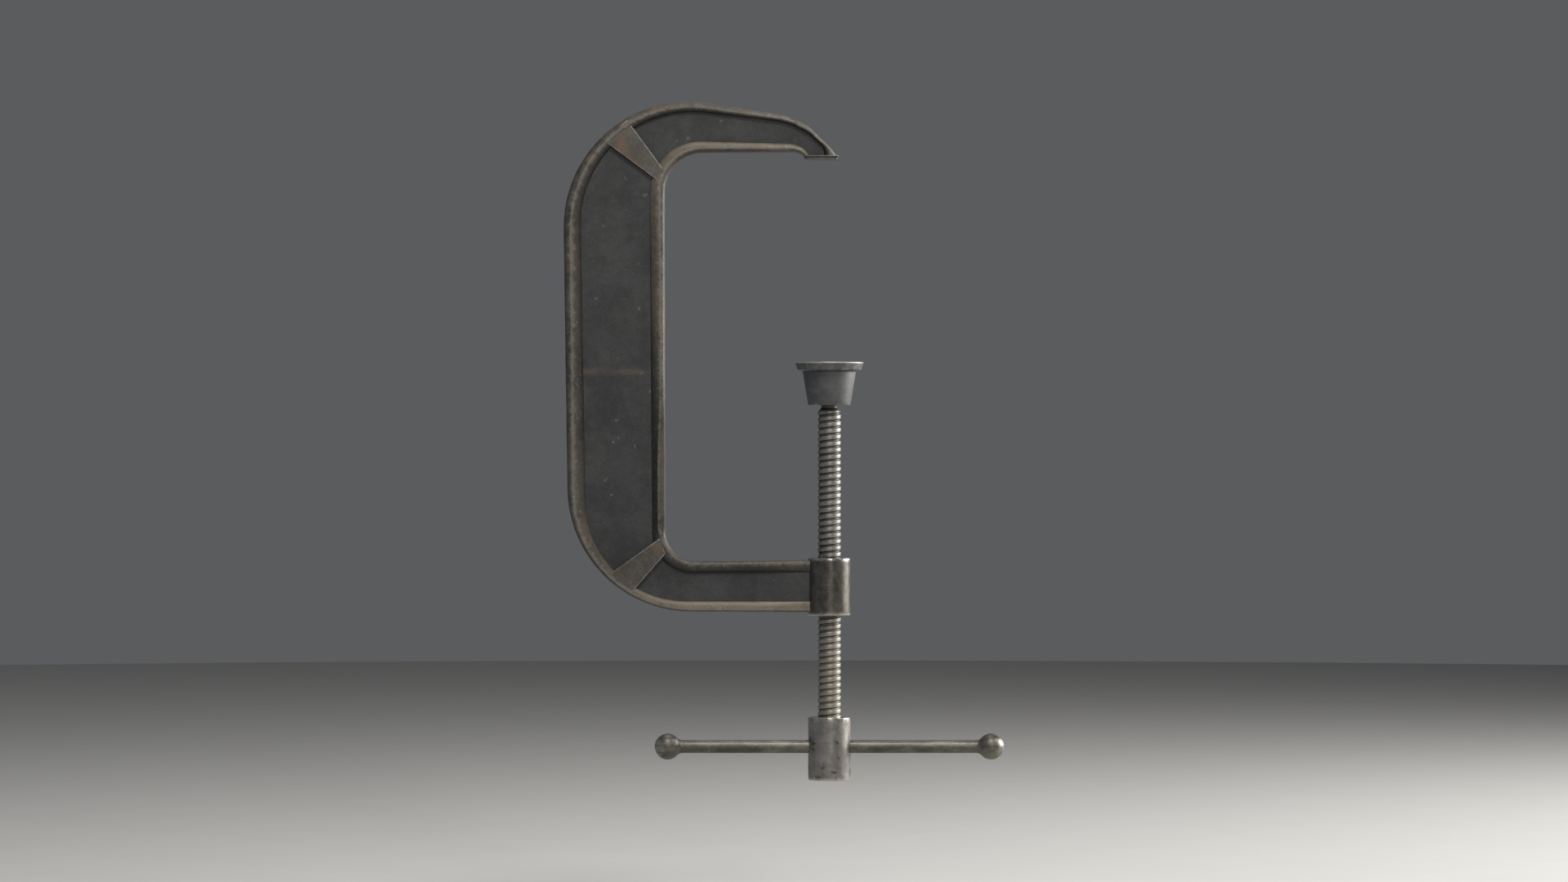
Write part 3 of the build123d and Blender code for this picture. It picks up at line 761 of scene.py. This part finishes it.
def emit(mesh):
    """A bmesh's points, faces, wear, and grime and painted shade."""
    mesh.verts.index_update()
    layers = [mesh.verts.layers.float[name] for name in ("wear", "grime")]
    out = ([v.co / MM for v in mesh.verts],
           [tuple(v.index for v in f.verts) for f in mesh.faces],
           *[[v[layer] for v in mesh.verts] for layer in layers])
    mesh.free()
    return out


def join(*parts):
    """Several shells' points, faces and marks as one."""
    points, faces, wear, grime = [], [], [], []
    for part in parts:
        start = len(points)
        points += part[0]
        faces += [tuple(i + start for i in f) for f in part[1]]
        wear += part[2]
        grime += part[3] if len(part) > 3 else [0.0] * len(part[0])
    return points, faces, wear, grime


# ---------------------------------------------------------------- spindle

OVERLAP = 1.0  # how far the shells of one piece run into each other
FIT = 0.1  # room round the ball and the ring
BALL_CENTRE_Z = sum(p.z for p in size("thrust_ball")) / 2
BALL_CUP = size("thrust_ball")[1].x + FIT
NECK_RADIUS = 5.0
TIP_TOP_Z = -137.0
RING_LOW, RING_HIGH = size("snap_ring")
GROOVE_RADIUS = 3.9
GROOVE_LOW_Z, GROOVE_HIGH_Z = RING_LOW.z - FIT, RING_HIGH.z + FIT
CUP_MOUTH = sqrt(BALL_CUP**2 - (TIP_TOP_Z - BALL_CENTRE_Z) ** 2)
SHANK_RADIUS = 5.0
SHANK_END_Z = -353.0
DRY_Z, DRY_FADE = -262.0, 70.0  # below this the screw is drier and rustier


def spindle_shape(z, radius):
    """The 45 degree chamfer at the thread's upper end."""
    return min(radius, NECK_RADIUS + max(THREAD_TOP_Z - z, 0.0))


def closed_thread():
    """The screw's thread, with a flat end at the top and the bottom."""
    mesh = thread_mesh(thread_profile(0.0), HEAD_TOP_Z, THREAD_TOP_Z, spindle_shape)
    for height in (HEAD_TOP_Z, THREAD_TOP_Z):
        bmesh.ops.contextual_create(mesh, geom=ends(mesh, height))
    return emit(mesh)


neck = turned([
    (0, THREAD_TOP_Z - OVERLAP, 0, 0), (NECK_RADIUS, THREAD_TOP_Z - OVERLAP, 0, 0),
    (NECK_RADIUS, GROOVE_LOW_Z, 0.2, 0.5), (GROOVE_RADIUS, GROOVE_LOW_Z, 0.2, 0),
    (GROOVE_RADIUS, GROOVE_HIGH_Z, 0.2, 0), (NECK_RADIUS, GROOVE_HIGH_Z, 0.2, 0.5),
    (NECK_RADIUS, TIP_TOP_Z, 0.5, 1), (CUP_MOUTH, TIP_TOP_Z, 0.1, 1),
    *[(BALL_CUP * cos(a), BALL_CENTRE_Z - BALL_CUP * sin(a), 0, 0.5)
      for a in map(radians, (25, 40, 55, 70, 80))],
    (0, BALL_CENTRE_Z - BALL_CUP, 0, 0.5)], steps=SLIM_STEPS)
shank = turned([
    (0, HEAD_TOP_Z + OVERLAP, 0, 0), (SHANK_RADIUS, HEAD_TOP_Z + OVERLAP, 0, 0),
    (SHANK_RADIUS, SHANK_END_Z, 0.5, 0), (0, SHANK_END_Z, 0, 0)], steps=SLIM_STEPS)
points, faces, wear, grime = join(closed_thread(), neck, shank)
# Real dust: drier, rustier steel below the dry height, away from the grime.
dust = [min(max((DRY_Z - p.z) / DRY_FADE, 0.0), 1.0) * max(1 - g, 0.0)
        for p, g in zip(points, grime)]
piece("spindle_screw", "screw", "screw_steel", screw_steel, points, faces, "spindle",
      wear=wear, grime=grime, dust=dust)


# ---------------------------------------------------------------- boss

BOSS_EDGE = 0.5
BORE_MOUTH = THREAD_RADIUS + 2 * THREAD_CLEARANCE
BORE_LIP = 0.3  # a flat ring round the bore's mouth
# How far from a turned shape's edge its wear has faded, across its end and down its side
END_FADE, SIDE_FADE = 2.5, 3.0


def bore_shape(z, radius):
    """The cone at each mouth of the threaded bore."""
    in_from_end = min(BOSS_HIGH.z - z, z - BOSS_LOW.z)
    return max(radius, BORE_MOUTH - max(in_from_end, 0.0))


def boss_mesh():
    """The boss: a threaded bore bridged to a turned outside."""
    bore = thread_mesh(thread_profile(THREAD_CLEARANCE), BOSS_LOW.z, BOSS_HIGH.z, bore_shape)
    lip, faded = BORE_MOUTH + BORE_LIP, BOSS_RADIUS - END_FADE
    points, faces, wear = turned([
        (lip, BOSS_HIGH.z, 0, 0.6), (faded, BOSS_HIGH.z, 0, 0.2),
        (BOSS_RADIUS, BOSS_HIGH.z, BOSS_EDGE, 1),
        (BOSS_RADIUS, BOSS_HIGH.z - SIDE_FADE, 0, 0.1),
        (BOSS_RADIUS, BOSS_LOW.z + SIDE_FADE, 0, 0.1),
        (BOSS_RADIUS, BOSS_LOW.z, BOSS_EDGE, 1),
        (faded, BOSS_LOW.z, 0, 0.2), (lip, BOSS_LOW.z, 0, 0.6)])
    outside = faces[:-TURN_STEPS]  # without the last band, which would close the bore
    layer = bore.verts.layers.float["wear"]
    made = []
    for point, worn in zip(points, wear):
        vertex = bore.verts.new(point * MM)
        vertex[layer] = worn
        made.append(vertex)
    for face in outside:
        bore.faces.new([made[i] for i in face])
    for height in (BOSS_LOW.z, BOSS_HIGH.z):
        bmesh.ops.bridge_loops(bore, edges=ends(bore, height))
    return emit(bore)


points, faces, wear, grime = boss_mesh()
piece("screw_boss_turned", "frame", "boss_steel", boss_steel, points, faces, "screw_boss",
      wear=wear, grime=grime)


# ---------------------------------------------------------------- head and tommy bar

HEAD_RADIUS = HEAD_HIGH.x
HEAD_EDGE = 0.4
HOLE_CHAMFER = 0.25
CUT_REACH = HEAD_RADIUS + 2  # the tools that cut the holes reach past the head
BAR_LOW, BAR_HIGH = size("tommy_bar")
BAR_Z = (BAR_LOW.z + BAR_HIGH.z) / 2
BAR_RADIUS = (BAR_HIGH.z - BAR_LOW.z) / 2
BAR_HOLE_RADIUS = BAR_RADIUS + 0.15
BAR_RINGS = range(-88, 89, 4)  # rings of points along the bar, for its wear
SPIGOT_RADIUS, SPIGOT_LENGTH = 3.0, 11
PIN_LOW, PIN_HIGH = size("head_pin")
PIN_RADIUS = PIN_HIGH.x
PIN_Z = PIN_LOW.z + PIN_RADIUS
KNOB_LOW, KNOB_HIGH = size("tommy_knob_right")
KNOB_RADIUS = KNOB_HIGH.y
KNOB_FACE_X, KNOB_END_X = KNOB_LOW.x, KNOB_HIGH.x
KNOB_FLARE = KNOB_END_X - KNOB_RADIUS - KNOB_FACE_X
FLARE_STEPS, BALL_STEPS = 12, 24

points, faces, wear = turned([
    (0, HEAD_LOW.z, 0, 0.1), (HEAD_RADIUS - END_FADE, HEAD_LOW.z, 0, 0.2),
    (HEAD_RADIUS, HEAD_LOW.z, HEAD_EDGE, 1), (HEAD_RADIUS, HEAD_LOW.z + SIDE_FADE, 0, 0.1),
    (HEAD_RADIUS, HEAD_TOP_Z - SIDE_FADE, 0, 0.1), (HEAD_RADIUS, HEAD_TOP_Z, HEAD_EDGE, 1),
    (HEAD_RADIUS - END_FADE, HEAD_TOP_Z, 0, 0.2), (SHANK_RADIUS, HEAD_TOP_Z, 0.2, 0.4),
    (SHANK_RADIUS, SHANK_END_Z, 0, 0), (0, SHANK_END_Z, 0, 0)])
head = piece("spindle_head_turned", "screw", "head_steel", head_steel, points, faces,
             "spindle_head", wear=wear)
carve(head, [
    rod("bar_hole", BAR_HOLE_RADIUS, (-CUT_REACH, 0, BAR_Z), (CUT_REACH, 0, BAR_Z)),
    rod("pin_hole", PIN_RADIUS, (0, PIN_LOW.y, PIN_Z), (0, CUT_REACH, PIN_Z)),
], HOLE_CHAMFER)

SPIGOT_END_X = KNOB_FACE_X + SPIGOT_LENGTH
points, faces, wear = turned([
    (0, -SPIGOT_END_X, 0, 0), (SPIGOT_RADIUS, -SPIGOT_END_X, 0, 0),
    (SPIGOT_RADIUS, -KNOB_FACE_X, 0, 0), (BAR_RADIUS, -KNOB_FACE_X, 0.1, 0.4),
    *[(BAR_RADIUS, x, 0, 0.25) for x in BAR_RINGS],
    (BAR_RADIUS, KNOB_FACE_X, 0.1, 0.4), (SPIGOT_RADIUS, KNOB_FACE_X, 0, 0),
    (SPIGOT_RADIUS, SPIGOT_END_X, 0, 0), (0, SPIGOT_END_X, 0, 0),
], along="X", centre=(0, 0, BAR_Z), steps=SLIM_STEPS)
piece("tommy_bar_rod", "handle", "bar_steel", bar_steel, points, faces, "tommy_bar",
      wear=wear)


def knob_profile(end):
    """The ball and its flared neck, with a hole for the bar's spigot."""
    flare = ((KNOB_FLARE**2 - KNOB_RADIUS**2 + BAR_RADIUS**2)
             / (2 * (KNOB_RADIUS - BAR_RADIUS)))
    ball = Vector((0, KNOB_END_X - KNOB_RADIUS))
    hollow = Vector((BAR_RADIUS + flare, KNOB_FACE_X))
    reach = (hollow - ball).normalized()
    half = reach.angle(Vector((1, 0)))
    out = [(0, SPIGOT_END_X, 0, 0), (SPIGOT_RADIUS, SPIGOT_END_X, 0, 0),
           (SPIGOT_RADIUS, KNOB_FACE_X, 0, 0)]
    for i in range(FLARE_STEPS + 1):
        angle = half * i / FLARE_STEPS
        out.append((hollow.x - flare * cos(angle), hollow.y + flare * sin(angle), 0, 0.2))
    for i in range(1, BALL_STEPS + 1):
        angle = -half + (pi / 2 + half) * i / BALL_STEPS
        radius = KNOB_RADIUS * cos(angle) if i < BALL_STEPS else 0
        worn = 0.6 * max(0, sin(angle)) + 0.2
        out.append((radius, ball.y + KNOB_RADIUS * sin(angle), 0, worn))
    return [(r, end * x, bend_radius, worn) for r, x, bend_radius, worn in out]


for side, end in (("left", -1), ("right", 1)):
    points, faces, wear = turned(knob_profile(end), along="X", centre=(0, 0, BAR_Z),
                                 steps=SLIM_STEPS)
    piece(f"tommy_knob_{side}_ball", "handle", "bar_steel", bar_steel, points, faces,
          f"tommy_knob_{side}", wear=wear)


# ---------------------------------------------------------------- shoe

FACE_LOW, FACE_HIGH = size("shoe_face")
SHOE_LOW, SHOE_HIGH = size("shoe_body")
FACE_RADIUS = FACE_HIGH.x
FACE_SIDE_LEAN, FACE_SIDE_HEIGHT = 0.35, 1.1  # the rounded side of the disc
SHOE_RIM_Z, SHOE_RIM_RADIUS = -128.6, 19.5
SHOE_STEP_Z, SHOE_STEP_RADIUS = FACE_LOW.z, SHOE_HIGH.x
SHOE_FOOT_RADIUS = 12.9
FOOT_LEAN = 0.55  # how much the cup widens over the part where its foot's wear fades
SEAT_RADIUS, SEAT_TOP_Z = 12.0, SHOE_HIGH.z
CEILING_Z, SHOE_BORE, SHOE_MOUTH, SHOE_GROOVE = -134.6, 6.2, 7.0, 7.8
GROOVE_HALF = 2.1
RING_Z = (RING_LOW.z + RING_HIGH.z) / 2
GROOVE_FOOT_Z, GROOVE_ROOF_Z = RING_Z - GROOVE_HALF, RING_Z + GROOVE_HALF
SHOE_CUP_MOUTH = sqrt(BALL_CUP**2 - (CEILING_Z - BALL_CENTRE_Z) ** 2)

points, faces, wear = turned([
    (0, FACE_HIGH.z, 0, 0.3), (FACE_RADIUS - END_FADE, FACE_HIGH.z, 0, 0.3),
    (FACE_RADIUS, FACE_HIGH.z, 0.3, 1),
    (FACE_RADIUS - FACE_SIDE_LEAN, FACE_HIGH.z - FACE_SIDE_HEIGHT, 0, 0.3),
    (SHOE_RIM_RADIUS, SHOE_RIM_Z, 0.3, 0.4), (SHOE_STEP_RADIUS, SHOE_STEP_Z, 0.1, 0),
    (SEAT_RADIUS, SHOE_STEP_Z, 0, 0), (SEAT_RADIUS, SEAT_TOP_Z, 0, 0), (0, SEAT_TOP_Z, 0, 0)])
piece("shoe_face_disc", "shoe", "shoe_steel", shoe_steel, points, faces, "shoe_face",
      wear=wear)

points, faces, wear = turned([
    (0, SEAT_TOP_Z, 0, 0), (SEAT_RADIUS, SEAT_TOP_Z, 0, 0), (SEAT_RADIUS, SHOE_STEP_Z, 0, 0),
    (SHOE_STEP_RADIUS, SHOE_STEP_Z, 0.3, 0.1),
    (SHOE_FOOT_RADIUS + FOOT_LEAN, SHOE_LOW.z + SIDE_FADE, 0, 0.1),
    (SHOE_FOOT_RADIUS, SHOE_LOW.z, 0.35, 0.4), (SHOE_MOUTH, SHOE_LOW.z, 0.3, 0.6),
    (SHOE_BORE, GROOVE_FOOT_Z, 0, 0), (SHOE_GROOVE, GROOVE_FOOT_Z, 0, 0),
    (SHOE_GROOVE, GROOVE_ROOF_Z, 0, 0), (SHOE_BORE, GROOVE_ROOF_Z, 0, 0),
    (SHOE_BORE, CEILING_Z, 0, 0), (SHOE_CUP_MOUTH, CEILING_Z, 0, 0),
    *[(BALL_CUP * cos(a), BALL_CENTRE_Z + BALL_CUP * sin(a), 0, 0)
      for a in map(radians, (30, 45, 60, 75))],
    (0, BALL_CENTRE_Z + BALL_CUP, 0, 0)])
piece("shoe_body_cup", "shoe", "shoe_steel", shoe_steel, points, faces, "shoe_body",
      wear=wear)


# ---------------------------------------------------------------- floor, light, camera

CENTRE = (cad_low + cad_high) / 2
SCREW_DROP = 0.095  # room under the head for the screw when it is fully undone
FLOOR_RADIUS = 4.0


def floor():
    """A pale disc below the head's lowest position."""
    finish = Finish("floor_paper")
    finish.feed(finish.shader.inputs["Base Color"],
                finish.mix(finish.noise(60, 3), (0.40, 0.40, 0.395), (0.43, 0.43, 0.425)))
    finish.shader.inputs["Roughness"].default_value = 0.9
    mesh = bmesh.new()
    bmesh.ops.create_circle(mesh, cap_ends=True, segments=TURN_STEPS, radius=FLOOR_RADIUS)
    obj = add_mesh("floor", mesh)
    obj.data.materials.append(finish.material)
    obj.location = (CENTRE.x, 0, cad_low.z - SCREW_DROP)


def softbox(name, azimuth, elevation, distance, width, height, power, colour):
    """An area light that faces the object, seen by reflections but not by the camera.
    Azimuth 0 is in front, 90 to the right. Lengths are in metres."""
    light = bpy.data.lights.new(name, "AREA")
    light.shape, light.size, light.size_y = "RECTANGLE", width, height
    light.energy, light.color = power, colour
    obj = add(name, light)
    a, e = radians(azimuth), radians(elevation)
    outward = Vector((sin(a) * cos(e), -cos(a) * cos(e), sin(e)))
    obj.location = CENTRE + outward * distance
    obj.rotation_euler = outward.to_track_quat("Z", "Y").to_euler()
    obj.visible_camera = False


floor()
softbox("key", 4, 54, 1.6, 0.36, 0.36, 20.5, (1.0, 0.97, 0.92))
softbox("front", 8, 14, 1.6, 0.12, 0.6, 6, (1.0, 0.95, 0.90))
softbox("right", 108, 13, 2.2, 1.5, 1.0, 90, (1.0, 0.97, 0.93))
softbox("high_right", 74, 42, 1.8, 0.12, 0.12, 11, (1.0, 0.97, 0.93))
softbox("top", 180, 70, 1.4, 0.8, 0.4, 5, (1.0, 0.98, 0.95))
softbox("left_fill", -80, 20, 2.4, 1.3, 0.9, 4.5, (0.45, 0.72, 1.0))

world = bpy.data.worlds.new("studio")
bpy.context.scene.world = world
world.use_nodes = True
world.node_tree.nodes["Background"].inputs["Color"].default_value = (0.105, 0.107, 0.110, 1)

LENS = 120.0
FRAME_WIDTH = 0.96  # how much of the object's plane the picture takes in
CAMERA_X, CAMERA_Z = -0.02775, -0.1722  # the middle of the picture on that plane
camera = add("camera", bpy.data.cameras.new("camera"))
camera.data.lens = LENS
camera.location = (CAMERA_X, -FRAME_WIDTH * LENS / camera.data.sensor_width, CAMERA_Z)
camera.rotation_euler = (pi / 2, 0, 0)
bpy.context.scene.camera = camera
bpy.context.scene.view_settings.view_transform = "Standard"
